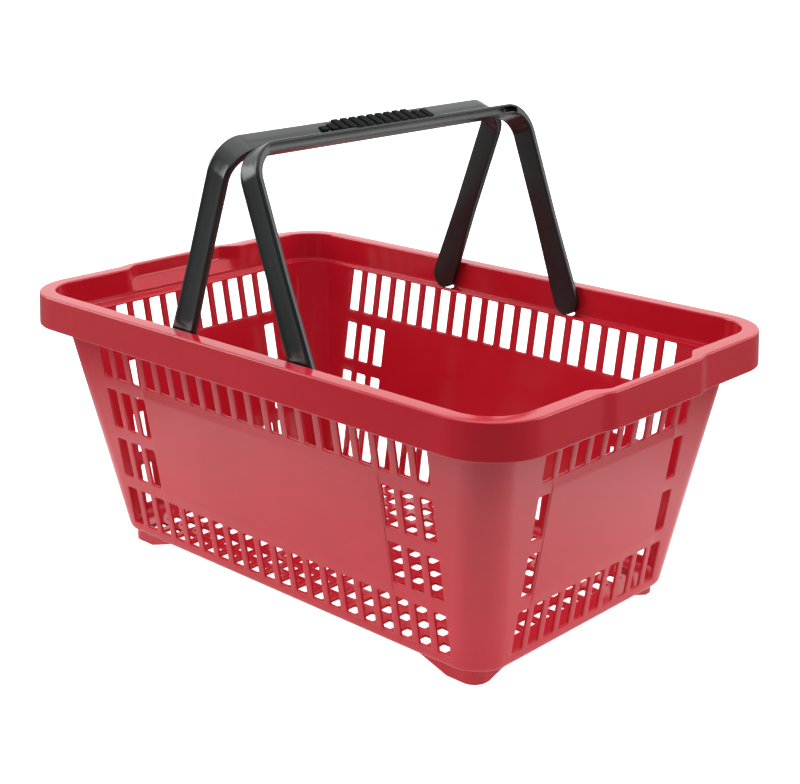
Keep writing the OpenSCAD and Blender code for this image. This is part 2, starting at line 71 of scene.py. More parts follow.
# ---------------------------------------------------------------- handle sizes, mm
PIVOT_X, PIVOT_Z = 58.9, 183.1
LEAN = math.radians(20.2)            # lean of a raised handle
LEG_LEN, LEG_Y, LEG_T = 145.8, 133.3, 4.8
LEG_W, STRAP_W, TAPER = 21.0, 17.8, 60.0
BEND_R, BAR_T = 22.0, 6.6
BEND_STEPS, FOOT_STEPS, FOOT_START = 32, 10, 87
CHANNEL = 0.5                        # depth of the wide channel down each leg
GROOVE = 7.0                         # depth of the groove along the bar's side
GROOVE_FULL_Y, GROOVE_FADE = 113, 6  # where the groove starts to run out, and over what length

PAD_COUNT, PAD_CENTRE = 13, 6
PAD_PITCH, PAD_MID, PAD_HALF = 8.3, -3.25, 3.1
PAD_IN, PAD_OUT = -5.0, 8.75         # reach of a full grip pad across the bar
SHORT_PADS = {0: (-5.1, 5.6), 1: (-5.1, 5.6), 11: (-3.6, 4.6), 12: (-3.0, 2.6)}
PAD_R, PAD_R_MIN, PAD_CORNER_STEPS = 1.3, 0.35, 4
# the crown of a pad: (height above the bar, inset)
PAD_STEPS = ((-.95, 0), (.5, 0), (.78, .1), (.96, .36), (1.05, .9), (1.09, 1.6))

SHELL_SHARP, STRAP_SHARP, PAD_SHARP = 38, 42, 50   # degrees past which an edge stays sharp

# ---------------------------------------------------------------- studio
DIM_SIDE = 0.06                      # brightness on the near side
BRIGHT_SIDE, OVERHEAD = 1.2, 1.35
BACKDROP = 0.97
FLOOR_GLOW, SEEN_GLOW = 0.17, 5
FAR_FLOOR = 0.12                     # how pale the floor is for bounced light, farther out
NEAR_REACH, FAR_REACH = 0.33, 0.52   # metres over which the floor turns dim
FLOOR_HALF = 15                      # metres
# name, place, aim, edge and power of each lamp
LAMPS = (("overhead", (0, 0, 1.9), (0, 0, 0), 1.6, 6),
         ("left", (-1.9, -1.3, .9), (0, 0, .12), 1.2, 17),
         ("right", (1.7, 1.4, .9), (0, 0, .12), 1.2, 12))


def wall_x(z):
    return WALL_X - (LEDGE_Z - z) * SLOPE


def wall_y(z):
    return WALL_Y - (LEDGE_Z - z) * SLOPE


def mix(a, b, t):
    return a + (b - a) * t


def ease(t):
    t = max(0.0, min(1.0, t))
    return t * t * (3 - 2 * t)


# ---------------------------------------------------------------- mesh tools
def bounded(loop):
    """A loop of flat points together with its bounds."""
    xs, ys = zip(*loop)
    return (min(xs), min(ys), max(xs), max(ys)), loop


def inside(point, hole):
    """Whether a flat point lies inside a bounded loop."""
    (x0, y0, x1, y1), loop = hole
    if not (x0 < point[0] < x1 and y0 < point[1] < y1):
        return False
    odd = False
    for a, b in zip(loop, loop[1:] + loop[:1]):
        if (a[1] > point[1]) != (b[1] > point[1]):
            cross = a[0] + (b[0] - a[0]) * (point[1] - a[1]) / (b[1] - a[1])
            odd = odd != (point[0] < cross)
    return odd


def rounded(cx, cy, half_x, half_y, r, steps):
    """Outline of a rounded rectangle, counter-clockwise."""
    out = []
    for k, (sx, sy) in enumerate(((1, 1), (-1, 1), (-1, -1), (1, -1))):
        for i in range(steps + 1):
            a = math.radians(90 * k + 90 * i / steps)
            out.append((cx + sx * (half_x - r) + r * math.cos(a),
                        cy + sy * (half_y - r) + r * math.sin(a)))
    return out


def soft_edges(depth, soft, mid):
    """Steps through a plate, as (depth, growth), for an opening with rounded edges."""
    return ((0, soft), (mid, mid), (soft, 0), (depth - soft, 0), (depth - mid, mid), (depth, soft))


class Shell:
    """Collects points and faces, then becomes one closed mesh."""

    def __init__(self):
        self.points, self.faces = [], []

    def add(self, points):
        first = len(self.points)
        self.points.extend(points)
        return list(range(first, len(self.points)))

    def strip(self, a, b, closed=True):
        """Quads between two loops or lines of points."""
        n = len(a)
        for i in range(n if closed else n - 1):
            j = (i + 1) % n
            self.faces.append((a[i], a[j], b[j], b[i]))

    def strips(self, loops):
        for a, b in zip(loops, loops[1:]):
            self.strip(a, b)

    def opening(self, place, centre, half, radius, levels):
        """The sides of an opening through a plate; gives its first and last loop."""
        loops = []
        for depth, growth in levels:
            outline = rounded(*centre, half[0] + growth, half[1] + growth, radius + growth, HOLE_STEPS)
            loops.append(self.add([place(u, v, depth) for u, v in outline]))
        self.strips(loops)
        return loops[0], loops[-1]

    def fill(self, outline, holes, flat):
        """Triangles between an outline and its holes; flat gives a point's place on the plane."""
        ids, edges = [], []
        for loop in [outline] + holes:
            first, n = len(ids), len(loop)
            ids.extend(loop)
            edges += [(first + i, first + (i + 1) % n) for i in range(n)]
        points = [Vector(flat(self.points[i])) for i in ids]
        gaps = [bounded([flat(self.points[i]) for i in loop]) for loop in holes]
        _, _, triangles, origin, _, _ = delaunay_2d_cdt(points, edges, [], 0, 1e-5)
        for corners in triangles:
            source = [origin[v][0] for v in corners]
            middle = sum((points[s] for s in source), Vector((0, 0))) / 3
            if not any(inside(middle, gap) for gap in gaps):
                self.faces.append(tuple(ids[s] for s in source))

    def object(self, name, material, sharp=SHELL_SHARP):
        mesh = bpy.data.meshes.new(name)
        mesh.from_pydata([tuple(c * MM for c in p) for p in self.points], [], self.faces)
        bm = bmesh.new()
        bm.from_mesh(mesh)
        bmesh.ops.remove_doubles(bm, verts=bm.verts, dist=1e-6)
        bmesh.ops.dissolve_degenerate(bm, edges=bm.edges, dist=1e-7)
        bmesh.ops.recalc_face_normals(bm, faces=bm.faces)
        bm.to_mesh(mesh)
        bm.free()
        return mesh_object(mesh, name, material, sharp)


def mesh_object(mesh, name, material, sharp):
    for p in mesh.polygons:
        p.use_smooth = True
    mesh.set_sharp_from_angle(angle=math.radians(sharp))
    mesh.materials.clear()
    mesh.materials.append(material)
    obj = bpy.data.objects.new(name, mesh)
    bpy.context.scene.collection.objects.link(obj)
    return obj


def even_normals(obj):
    """Keeps broad flat faces flat next to their rounded edges."""
    mod = obj.modifiers.new("even normals", "WEIGHTED_NORMAL")
    mod.keep_sharp = True
    mod.weight = 80


# ---------------------------------------------------------------- tub: walls and floor
# each side: place of a point from (along, height, depth), its plan, and its half length
SIDES = (
    (lambda u, z, depth: (u, wall_y(z) - depth, z), LONG, wall_x),
    (lambda u, z, depth: (-u, depth - wall_y(z), z), LONG, wall_x),
    (lambda u, z, depth: (wall_x(z) - depth, -u, z), END, wall_y),
    (lambda u, z, depth: (depth - wall_x(z), u, z), END, wall_y),
)


def wall_ring(z, inset):
    outline = rounded(0, 0, wall_x(z) - inset, wall_y(z) - inset, CORNER_R - inset, CORNER_STEPS)
    return [(x, y, z) for x, y in outline]


def build_skin(s, inset, edge_z, edge_top):
    """Corners and bottom edge of one face of the walls; gives its top ring and its floor ring."""
    tangent = EDGE_R * math.cos(DRAFT)
    centre_x, centre_y = wall_x(edge_top) - tangent, wall_y(edge_top) - tangent
    rings = [s.add(wall_ring(WALL_TOP, inset)), s.add(wall_ring(edge_top, inset))]
    for k in range(1, EDGE_STEPS + 1):
        a = -DRAFT - (math.pi / 2 - DRAFT) * k / EDGE_STEPS
        d = (EDGE_R - inset) * math.cos(a)
        z = edge_z + (EDGE_R - inset) * math.sin(a)
        outline = rounded(0, 0, centre_x + d, centre_y + d, CORNER_R - tangent + d, CORNER_STEPS)
        rings.append(s.add([(x, y, z) for x, y in outline]))
    top, low = rings[:2]
    n = CORNER_STEPS + 1
    for c in range(4):
        s.strip(top[c * n:(c + 1) * n], low[c * n:(c + 1) * n], closed=False)
    s.strips(rings[1:])
    return top, rings[-1]


def build_floor(s, outer, inner):
    """Floor plate between its two rings, with a grid of square holes."""
    lift = FLOOR_Z + FLOOR_T - s.points[inner[0]][2]
    for i in inner:
        x, y, z = s.points[i]
        s.points[i] = (x, y, z + lift)
    levels = soft_edges(FLOOR_T, FLOOR_HOLE_SOFT, FLOOR_HOLE_SOFT_MID)
    below, above = [], []
    for i in range(LONG["cols"]):
        for j in range(FLOOR_HOLE_ROWS):
            centre = ((i - (LONG["cols"] - 1) / 2) * LONG["pitch"],
                      (j - (FLOOR_HOLE_ROWS - 1) / 2) * END["pitch"])
            first, last = s.opening(lambda x, y, depth: (x, y, FLOOR_Z + depth), centre,
                                    (FLOOR_HOLE_HALF, FLOOR_HOLE_HALF), FLOOR_HOLE_R, levels)
            below.append(first)
            above.append(last)
    for ring, holes in ((outer, below), (inner, above)):
        s.fill(ring, holes, lambda p: (p[0], p[1]))


def build_side(s, place, plan, half, edge_top):
    """One flat wall, with its slots and its raised blank panel."""
    cols, keep, pitch = plan["cols"], plan["keep"], plan["pitch"]
    levels = soft_edges(WALL_T, SLOT_SOFT, SLOT_SOFT_MID)
    outer, inner = [], []
    for row, (low, high) in enumerate(SLOT_ROWS):
        for c in range(cols):
            if row in PANEL_ROWS and keep <= c < cols - keep:
                continue
            centre = ((c - (cols - 1) / 2) * pitch, (low + high) / 2)
            first, last = s.opening(place, centre, (SLOT_W / 2, (high - low) / 2), SLOT_R, levels)
            outer.append(first)
            inner.append(last)
    loops = []
    for depth, growth, rise in PANEL_STEPS:
        outline = rounded(0, (PANEL_LOW + PANEL_HIGH) / 2, plan["panel_half"] + growth,
                          (PANEL_HIGH - PANEL_LOW) / 2 + rise, PANEL_R + growth, HOLE_STEPS)
        loops.append(s.add([place(u, z, depth) for u, z in outline]))
    s.strips(loops)
    s.faces.append(tuple(loops[-1]))
    outer.append(loops[0])
    low_u, high_u = half(edge_top) - CORNER_R, half(WALL_TOP) - CORNER_R
    corners = ((-low_u, edge_top), (low_u, edge_top), (high_u, WALL_TOP), (-high_u, WALL_TOP))
    along = 0 if plan is LONG else 1
    for depth, holes in ((0, outer), (WALL_T, inner)):
        outline = s.add([place(u, z, depth) for u, z in corners])
        s.fill(outline, holes, lambda p: (p[along], p[2]))


def build_walls(material):
    s = Shell()
    edge_z = FLOOR_Z + EDGE_R
    edge_top = edge_z - EDGE_R * math.sin(DRAFT)
    outer_top, outer_floor = build_skin(s, 0, edge_z, edge_top)
    inner_top, inner_floor = build_skin(s, WALL_T, edge_z, edge_top)
    s.strip(outer_top, inner_top)
    build_floor(s, outer_floor, inner_floor)
    for place, plan, half in SIDES:
        build_side(s, place, plan, half, edge_top)
    return s.object("tub_walls_and_floor", material)


# ---------------------------------------------------------------- tub: rim
def both_ways(values):
    return sorted([-v for v in values] + list(values))


# places along the straight parts of the rim where its cross lines lie
OPENING_EDGES = (PIVOT_X - OPENING_HALF, PIVOT_X + OPENING_HALF)
LONG_LINES = both_ways([20.0, *OPENING_EDGES, 120.0, 155.0])
END_LINES = sorted(both_ways([20.0] + [38.5 + 1.25 * i for i in range(18)] + [75.0, 92.0]) + [0.0])

# the plan that the ledge's inner edge follows, and the plan of all the rest
LEDGE_HALF_X, LEDGE_HALF_Y = wall_x(LEDGE_LOW) - WALL_T, wall_y(LEDGE_LOW) - WALL_T
LEDGE_R = CORNER_R - WALL_T
LEDGE_PLAN = (LEDGE_HALF_X, LEDGE_HALF_Y, LEDGE_HALF_X - LEDGE_R, LEDGE_HALF_Y - LEDGE_R)
BAND_PLAN = (BAND_X, BAND_Y, RIM_CX, RIM_CY)
# the rim's section, from the ledge's inner edge over the lip and back:
# (distance out, height, part of the pocket's depth, part of the bulge, plan)
LEDGE_EDGE = ((0.0, LEDGE_LOW), (0.0, 171.5), (0.2, 172.0), (0.7, LEDGE_Z))
RIM_SECTION = (
    *((out, z, 0, 0, LEDGE_PLAN) for out, z in LEDGE_EDGE),
    (-4.0, LEDGE_Z, 0, 0, BAND_PLAN), (-0.9, LEDGE_Z, 0, 0, BAND_PLAN),
    (-0.25, 172.45, 0, 0, BAND_PLAN), (0.0, 173.1, 0, 0, BAND_PLAN),
    (0.0, 174.7, 0, 0, BAND_PLAN), (0.0, 175.5, .02, 0, BAND_PLAN),
    (0.0, 182.1, .86, 0, BAND_PLAN), (0.0, 183.4, .97, 0, BAND_PLAN), (0.0, 184.5, 1, 0, BAND_PLAN),
    (0.0, 192.2, 1, 0, BAND_PLAN), (0.12, 192.85, 1, 0, BAND_PLAN), (0.45, 193.3, 1, 0, BAND_PLAN),
    (1.2, RIM_TOP, 1, 0, BAND_PLAN), (10.1, RIM_TOP, 0, BULGE_TOP, BAND_PLAN),
    (11.0, 193.25, 0, BULGE_TOP, BAND_PLAN), (11.45, 192.7, 0, BULGE_TOP, BAND_PLAN),
    (11.6, 191.9, 0, BULGE_TOP, BAND_PLAN), (12.62, 171.1, 0, BULGE_LOW, BAND_PLAN),
    (12.6, 170.5, 0, BULGE_LOW, BAND_PLAN), (12.3, SKIRT_Z, 0, BULGE_LOW, BAND_PLAN),
    (11.1, SKIRT_Z, 0, BULGE_LOW, BAND_PLAN), (10.7, 170.5, 0, BULGE_LOW, BAND_PLAN),
    (9.5, 191.3, 0, BULGE_TOP, BAND_PLAN),
    (BAND_T, 191.3, 1, 0, BAND_PLAN), (BAND_T, 184.5, 1, 0, BAND_PLAN),
    (BAND_T, 182.1, .8, 0, BAND_PLAN), (BAND_T, 175.5, 0, 0, BAND_PLAN),
    (BAND_T, 173.1, 0, 0, BAND_PLAN), (BAND_T, LEDGE_LOW, 0, 0, BAND_PLAN),
    (-4.0, LEDGE_LOW, 0, 0, BAND_PLAN),
)
# places in that section: the ledge's top, the band's inside, its outside, the ledge's underside
LEDGE_RING, BAND_LOW, BAND_HIGH = 4, 9, 13
BACK_HIGH, BACK_LOW, UNDER_RING = 27, 30, 33


def rim_ring(out, z, pocket, bulge, plan):
    """One line round the rim; the middle of each end is pushed out by the pocket and the bulge."""
    half_x, half_y, cx, cy = plan

    def push(y):
        return (POCKET_DEPTH * pocket * ease((POCKET_HALF - abs(y)) / POCKET_RUN)
                + bulge * ease((BULGE_HALF - abs(y)) / BULGE_RUN))

    ring = []
    r = half_x + out - cx
    for k, (sx, sy) in enumerate(((1, 1), (-1, 1), (-1, -1), (1, -1))):
        for i in range(CORNER_STEPS + 1):
            a = math.radians(90 * k + 90 * i / CORNER_STEPS)
            ring.append((sx * cx + r * math.cos(a), sy * cy + (half_y + out - cy) * math.sin(a), z))
        if k == 0:
            ring += [(x, half_y + out, z) for x in reversed(LONG_LINES)]
        elif k == 1:
            ring += [(-(half_x + out + push(y)), y, z) for y in reversed(END_LINES)]
        elif k == 2:
            ring += [(x, -(half_y + out), z) for x in LONG_LINES]
        else:
            ring += [(half_x + out + push(y), y, z) for y in END_LINES]
    return ring


def opening_cells():
    """Places round the rim of the four openings under the pivots."""
    arc = CORNER_STEPS + 1
    back = (arc, LONG_LINES[::-1])
    front = (3 * arc + len(LONG_LINES) + len(END_LINES), LONG_LINES)
    return {start + i for start, lines in (back, front) for i in range(len(lines) - 1)
            if {abs(lines[i]), abs(lines[i + 1])} == set(OPENING_EDGES)}


def build_pivot_opening(s, rings, i):
    """Lines one opening through the ledge and the band, and cuts the stud's hole above it."""
    j = i + 1
    for a, b in ((LEDGE_RING, UNDER_RING), (BAND_LOW, BACK_LOW)):
        s.faces.append((rings[a][i], rings[a][j], rings[b][j], rings[b][i]))
    edge = [*range(LEDGE_RING, BAND_LOW + 1), *range(BACK_LOW, UNDER_RING + 1)]
    for c in (i, j):
        s.faces.append(tuple(rings[k][c] for k in edge))
    faces = (rings[BAND_LOW:BAND_HIGH + 1], rings[BACK_LOW:BACK_HIGH - 1:-1])
    loops = []
    for lines in faces:
        x, y, _ = s.points[lines[0][i]]
        middle = math.copysign(PIVOT_X, x)
        turns = [FULL_TURN * t / STUD_HOLE_STEPS for t in range(STUD_HOLE_STEPS)]
        loops.append(s.add([(middle + STUD_HOLE_R * math.cos(t), y, PIVOT_Z + STUD_HOLE_R * math.sin(t))
                            for t in turns]))
        outline = [line[i] for line in lines] + [line[j] for line in reversed(lines)]
        s.fill(outline, [loops[-1]], lambda p: (p[0], p[2]))
    s.strip(*loops)


def build_rim(material):
    s = Shell()
    rings = [s.add(rim_ring(*line)) for line in RIM_SECTION]
    cells = opening_cells()
    open_lines = [*range(LEDGE_RING, BAND_HIGH), *range(BACK_HIGH, UNDER_RING)]
    n, around = len(rings), len(rings[0])
    for k in range(n):
        a, b = rings[k], rings[(k + 1) % n]
        for i in range(around):
            if k in open_lines and i in cells:
                continue
            j = (i + 1) % around
            s.faces.append((a[i], a[j], b[j], b[i]))
    for i in cells:
        build_pivot_opening(s, rings, i)
    return s.object("tub_rim", material)


# ---------------------------------------------------------------- handles
def raised(side):
    """Carries a handle drawn upright to its raised place."""
    turn = Matrix.Rotation(-side * LEAN, 4, "Y")
    half_turn = Matrix.Rotation(0 if side > 0 else math.pi, 4, "Z")
    return Matrix.Translation((side * PIVOT_X, 0, PIVOT_Z)) @ turn @ half_turn


def strap_section(w, t, groove, channel, bar):
    """Section across a strap of half width w; bar goes from 0 on the legs to 1 on the grip bar."""
    outer_r = min(mix(1.4, .8, bar), w * .8, t * .42)
    inner_r = min(mix(1.4, .4, bar), w * .8, t * .42)
    outer_cut, inner_cut = outer_r * .293, inner_r * .293   # where a rounded edge is half turned
    drop = .95 * bar
    channel_half = min(6.2, (w - outer_r) * .8)
    lip = min(.8, (w - outer_r - channel_half) * .9)
    # outer face, as places across the strap and depths, on a leg and on the bar
    leg_x = (-w + outer_r, -channel_half - lip, -channel_half, -channel_half * .3,
             channel_half * .3, channel_half, channel_half + lip, w - outer_r)
    leg_depth = (0, 0, channel, channel, channel, channel, 0, 0)
    bar_x = (-w + outer_r, -6.4, -4.7, -1.3, -.7, 3.0, 6.0, w - outer_r)
    bar_depth = (.95, .75, .45, .45, 0, 0, 0, 0)
    outer = [(mix(a, b, bar), mix(c, d, bar))
             for a, b, c, d in zip(leg_x, bar_x, leg_depth, bar_depth)]
    groove = max(groove, .01)
    chamfer = min(.3, max(groove * .5, .01))
    top, low = mix(t * .42, 1.7, bar), mix(t * .58, 5.6, bar)
    bottom = w - groove - chamfer
    return outer + [
        (w - outer_cut, outer_cut), (w, outer_r), (w, top - chamfer), (w - chamfer, top), (bottom, top),
        (bottom, low), (w - chamfer, low), (w, low + chamfer), (w, t - inner_r),
        (w - inner_cut, t - inner_cut), (w - inner_r, t), (0, t), (-w + inner_r, t),
        (-w + inner_cut, t - inner_cut), (-w, t - inner_r), (-w, drop + outer_r),
        (-w + outer_cut, drop + outer_cut)]


def handle_stations():
    """(outer point, inner point, half width, groove, channel, bar) along half the bow."""
    out = []
    inner_y, inner_r = LEG_Y - LEG_T, BEND_R - BAR_T
    for k in range(FOOT_STEPS + 1):
        a = math.radians(FOOT_START - FOOT_START * k / FOOT_STEPS)
        s = -LEG_W / 2 * math.sin(a)
        out.append(((LEG_Y, s), (inner_y, s), LEG_W / 2 * math.cos(a), 0, 0, 0))
    top = LEG_LEN - BEND_R
    for s, channel in ((8, 0), (12, 0), (13, .1), (14.5, .35), (16, CHANNEL), (TAPER, CHANNEL),
                       (top - 20, CHANNEL), (top, CHANNEL)):
        half = mix(LEG_W, STRAP_W, min(1, s / TAPER)) / 2
        out.append(((LEG_Y, s), (inner_y, s), half, 0, channel, 0))
    for k in range(1, BEND_STEPS + 1):
        a = math.pi / 2 * k / BEND_STEPS
        outer = (LEG_Y - BEND_R + BEND_R * math.cos(a), top + BEND_R * math.sin(a))
        inner = (inner_y - inner_r + inner_r * math.cos(a), top + inner_r * math.sin(a))
        past = ((outer[0] + inner[0]) / 2 - GROOVE_FULL_Y) / GROOVE_FADE
        groove = GROOVE * math.sqrt(max(0, 1 - max(0, past) ** 2))
        out.append((outer, inner, STRAP_W / 2, groove, CHANNEL, ease(k / BEND_STEPS)))
    for y in (100, 62, 56, 30, 0):
        out.append(((y, LEG_LEN), (y, LEG_LEN - BAR_T), STRAP_W / 2, GROOVE, CHANNEL, 1))
    return out


def build_handle(side, name, material):
    s = Shell()
    half_bow = handle_stations()
    other_half = [((-outer[0], outer[1]), (-inner[0], inner[1]), *rest)
                  for outer, inner, *rest in reversed(half_bow[:-1])]
    loops = []
    for outer, inner, w, groove, channel, bar in half_bow + other_half:
        outer, inner = Vector(outer), Vector(inner)
        t = (inner - outer).length
        inwards = (inner - outer) / t
        loops.append(s.add([(x, *(outer + inwards * depth))
                            for x, depth in strap_section(w, t, groove, channel, bar)]))
    s.strips(loops)
    s.faces.append(tuple(loops[0]))
    s.faces.append(tuple(reversed(loops[-1])))
    move = raised(side)
    s.points = [tuple(move @ Vector(p)) for p in s.points]
    return s.object(name, material, STRAP_SHARP)


def add_pad(s, x0, x1, k):
    """One crowned grip pad across the bar of an upright handle, in the row's place k."""
    y = PAD_MID + (k - PAD_CENTRE) * PAD_PITCH
    loops = []
    for height, inset in PAD_STEPS:
        outline = rounded((x0 + x1) / 2, y, (x1 - x0) / 2 - inset, PAD_HALF - inset,
                          max(PAD_R - inset, PAD_R_MIN), PAD_CORNER_STEPS)
        loops.append(s.add([(px, py, LEG_LEN + height) for px, py in outline]))
    s.strips(loops)
    s.faces.append(tuple(reversed(loops[0])))
    s.faces.append(tuple(loops[-1]))


def build_pads(side, name, tree, material):
    """Grip pads of one handle: a row of full ones, and shorter ones at both ends."""
    row, ends = Shell(), Shell()
    full = [k for k in range(PAD_COUNT) if k not in SHORT_PADS]
    add_pad(row, PAD_IN, PAD_OUT, full[0])
    for k, (x0, x1) in SHORT_PADS.items():
        add_pad(ends, x0, x1, k)
    pieces = [repeat(row.object("grip_pad", material, PAD_SHARP), tree, material, len(full),
                     (0, PAD_PITCH * MM, 0)),
              ends.object("grip_pad_ends", material, PAD_SHARP)]
    bm = bmesh.new()
    for piece in pieces:
        bm.from_mesh(piece.data)
        bpy.data.objects.remove(piece)
    mesh = bpy.data.meshes.new(name)
    bm.to_mesh(mesh)
    bm.free()
    scale = Matrix.Scale(MM, 4)
    mesh.transform(scale @ raised(side) @ scale.inverted())
    return mesh_object(mesh, name, material, PAD_SHARP)


def row_tree():
    """Geometry nodes: repeats a mesh along a line."""
    tree = bpy.data.node_groups.new("pad row", "GeometryNodeTree")
    for name, kind in (("Geometry", "NodeSocketGeometry"), ("Count", "NodeSocketInt"),
                       ("Step", "NodeSocketVector"), ("Material", "NodeSocketMaterial")):
        tree.interface.new_socket(name, in_out="INPUT", socket_type=kind)
    tree.interface.new_socket("Geometry", in_out="OUTPUT", socket_type="NodeSocketGeometry")
    given = tree.nodes.new("NodeGroupInput")
    line = tree.nodes.new("GeometryNodeMeshLine")
    line.mode = "OFFSET"
    place = tree.nodes.new("GeometryNodeInstanceOnPoints")
    real = tree.nodes.new("GeometryNodeRealizeInstances")
    paint = tree.nodes.new("GeometryNodeSetMaterial")
    result = tree.nodes.new("NodeGroupOutput")
    link = tree.links.new
    link(given.outputs["Count"], line.inputs["Count"])
    link(given.outputs["Step"], line.inputs["Offset"])
    link(line.outputs["Mesh"], place.inputs["Points"])
    link(given.outputs["Geometry"], place.inputs["Instance"])
    link(place.outputs["Instances"], real.inputs["Geometry"])
    link(real.outputs["Geometry"], paint.inputs["Geometry"])
    link(given.outputs["Material"], paint.inputs["Material"])
    link(paint.outputs["Geometry"], result.inputs["Geometry"])
    return tree


def repeat(source, tree, material, count, step):
    """The evaluated row as a plain mesh; the source is used up."""
    mod = source.modifiers.new("row", "NODES")
    mod.node_group = tree
    named = {item.name: item.identifier for item in tree.interface.items_tree
             if item.in_out == "INPUT"}
    mod[named["Count"]] = count
    mod[named["Step"]] = step
    mod[named["Material"]] = material
    graph = bpy.context.evaluated_depsgraph_get()
    mesh = bpy.data.meshes.new_from_object(source.evaluated_get(graph))
    bpy.data.objects.remove(source)
    return mesh_object(mesh, "grip_pad_row", material, PAD_SHARP)


# ---------------------------------------------------------------- node tools
def maths(tree, kind, a, b):
    node = tree.nodes.new("ShaderNodeMath")
    node.operation = kind
    for socket, value in zip(node.inputs, (a, b)):
        if isinstance(value, (int, float)):
            socket.default_value = value
        else:
            tree.links.new(value, socket)
    return node.outputs[0]


def remap(tree, value, low, high, to_low=0.0, to_high=1.0, kind="LINEAR"):
    node = tree.nodes.new("ShaderNodeMapRange")
    node.interpolation_type = kind
    for key, v in (("From Min", low), ("From Max", high), ("To Min", to_low), ("To Max", to_high)):
        node.inputs[key].default_value = v
    tree.links.new(value, node.inputs["Value"])
    return node.outputs["Result"]


def blend(tree, factor, a, b):
    """A colour between two greys, given as one number each."""
    node = tree.nodes.new("ShaderNodeMix")
    node.data_type = "RGBA"
    for key, v in (("A", a), ("B", b)):
        if isinstance(v, (int, float)):
            node.inputs[key].default_value = (v, v, v, 1)
        else:
            tree.links.new(v, node.inputs[key])
    tree.links.new(factor, node.inputs["Factor"])
    return node.outputs["Result"]


# ---------------------------------------------------------------- materials
def moulded_group():
    """Shader group shared by every plastic: fine grain, slow clouds and flow marks."""
    g = bpy.data.node_groups.new("moulded surface", "ShaderNodeTree")
    for name, kind in (("Vector", "NodeSocketVector"), ("Grain Scale", "NodeSocketFloat"),
                       ("Cloud Scale", "NodeSocketFloat"), ("Flow", "NodeSocketFloat")):
        g.interface.new_socket(name, in_out="INPUT", socket_type=kind)
    for name in ("Cloud", "Height", "Gloss"):
        g.interface.new_socket(name, in_out="OUTPUT", socket_type="NodeSocketFloat")
    given, result = g.nodes.new("NodeGroupInput"), g.nodes.new("NodeGroupOutput")

    def noise(scale_socket, factor, detail, rough, stretch=None):
        node = g.nodes.new("ShaderNodeTexNoise")
        node.inputs["Detail"].default_value = detail
        node.inputs["Roughness"].default_value = rough
        g.links.new(maths(g, "MULTIPLY", given.outputs[scale_socket], factor), node.inputs["Scale"])
        where = given.outputs["Vector"]
        if stretch:
            mapping = g.nodes.new("ShaderNodeMapping")
            mapping.inputs["Scale"].default_value = stretch
            g.links.new(where, mapping.inputs["Vector"])
            where = mapping.outputs["Vector"]
        g.links.new(where, node.inputs["Vector"])
        return node.outputs["Fac"]

    cloud = noise("Cloud Scale", 1.0, 4, .55)
    streak = noise("Cloud Scale", 1.6, 3, .5, stretch=(1.0, 1.0, .18))
    grain = noise("Grain Scale", 1.0, 3, .6)
    speck = noise("Grain Scale", .33, 2, .7)
    flow = maths(g, "MULTIPLY", remap(g, streak, .35, .7), given.outputs["Flow"])
    colour = maths(g, "ADD", remap(g, cloud, .3, .7), flow)
    fine = maths(g, "ADD", maths(g, "MULTIPLY", grain, .7), maths(g, "MULTIPLY", speck, .3))
    height = maths(g, "ADD", fine, maths(g, "MULTIPLY", streak, .5))
    gloss = maths(g, "ADD", remap(g, cloud, .25, .75, -.5, .5), remap(g, speck, .35, .65, -.25, .25))
    for name, value in (("Cloud", colour), ("Height", height), ("Gloss", gloss)):
        g.links.new(value, result.inputs[name])
    return g


def plastic(name, group, base, light, rough, rough_span, grain, cloud, flow, bump, shine=.5):
    """Moulded plastic: base and light are its two slowly mixed colours."""
    m = bpy.data.materials.new(name)
    m.use_nodes = True
    n, link = m.node_tree.nodes, m.node_tree.links.new
    shader = n["Principled BSDF"]
    where = n.new("ShaderNodeTexCoord")
    detail = n.new("ShaderNodeGroup")
    detail.node_tree = group
    link(where.outputs["Object"], detail.inputs["Vector"])
    for key, value in (("Grain Scale", grain), ("Cloud Scale", cloud), ("Flow", flow)):
        detail.inputs[key].default_value = value
    tint = n.new("ShaderNodeMix")
    tint.data_type = "RGBA"
    tint.inputs["A"].default_value = (*base, 1)
    tint.inputs["B"].default_value = (*light, 1)
    link(detail.outputs["Cloud"], tint.inputs["Factor"])
    link(tint.outputs["Result"], shader.inputs["Base Color"])
    spread = maths(m.node_tree, "MULTIPLY", detail.outputs["Gloss"], rough_span)
    link(maths(m.node_tree, "ADD", spread, rough), shader.inputs["Roughness"])
    relief = n.new("ShaderNodeBump")
    relief.inputs["Strength"].default_value = bump
    relief.inputs["Distance"].default_value = .0004
    link(detail.outputs["Height"], relief.inputs["Height"])
    link(relief.outputs["Normal"], shader.inputs["Normal"])
    shader.inputs["Specular IOR Level"].default_value = shine
    return m


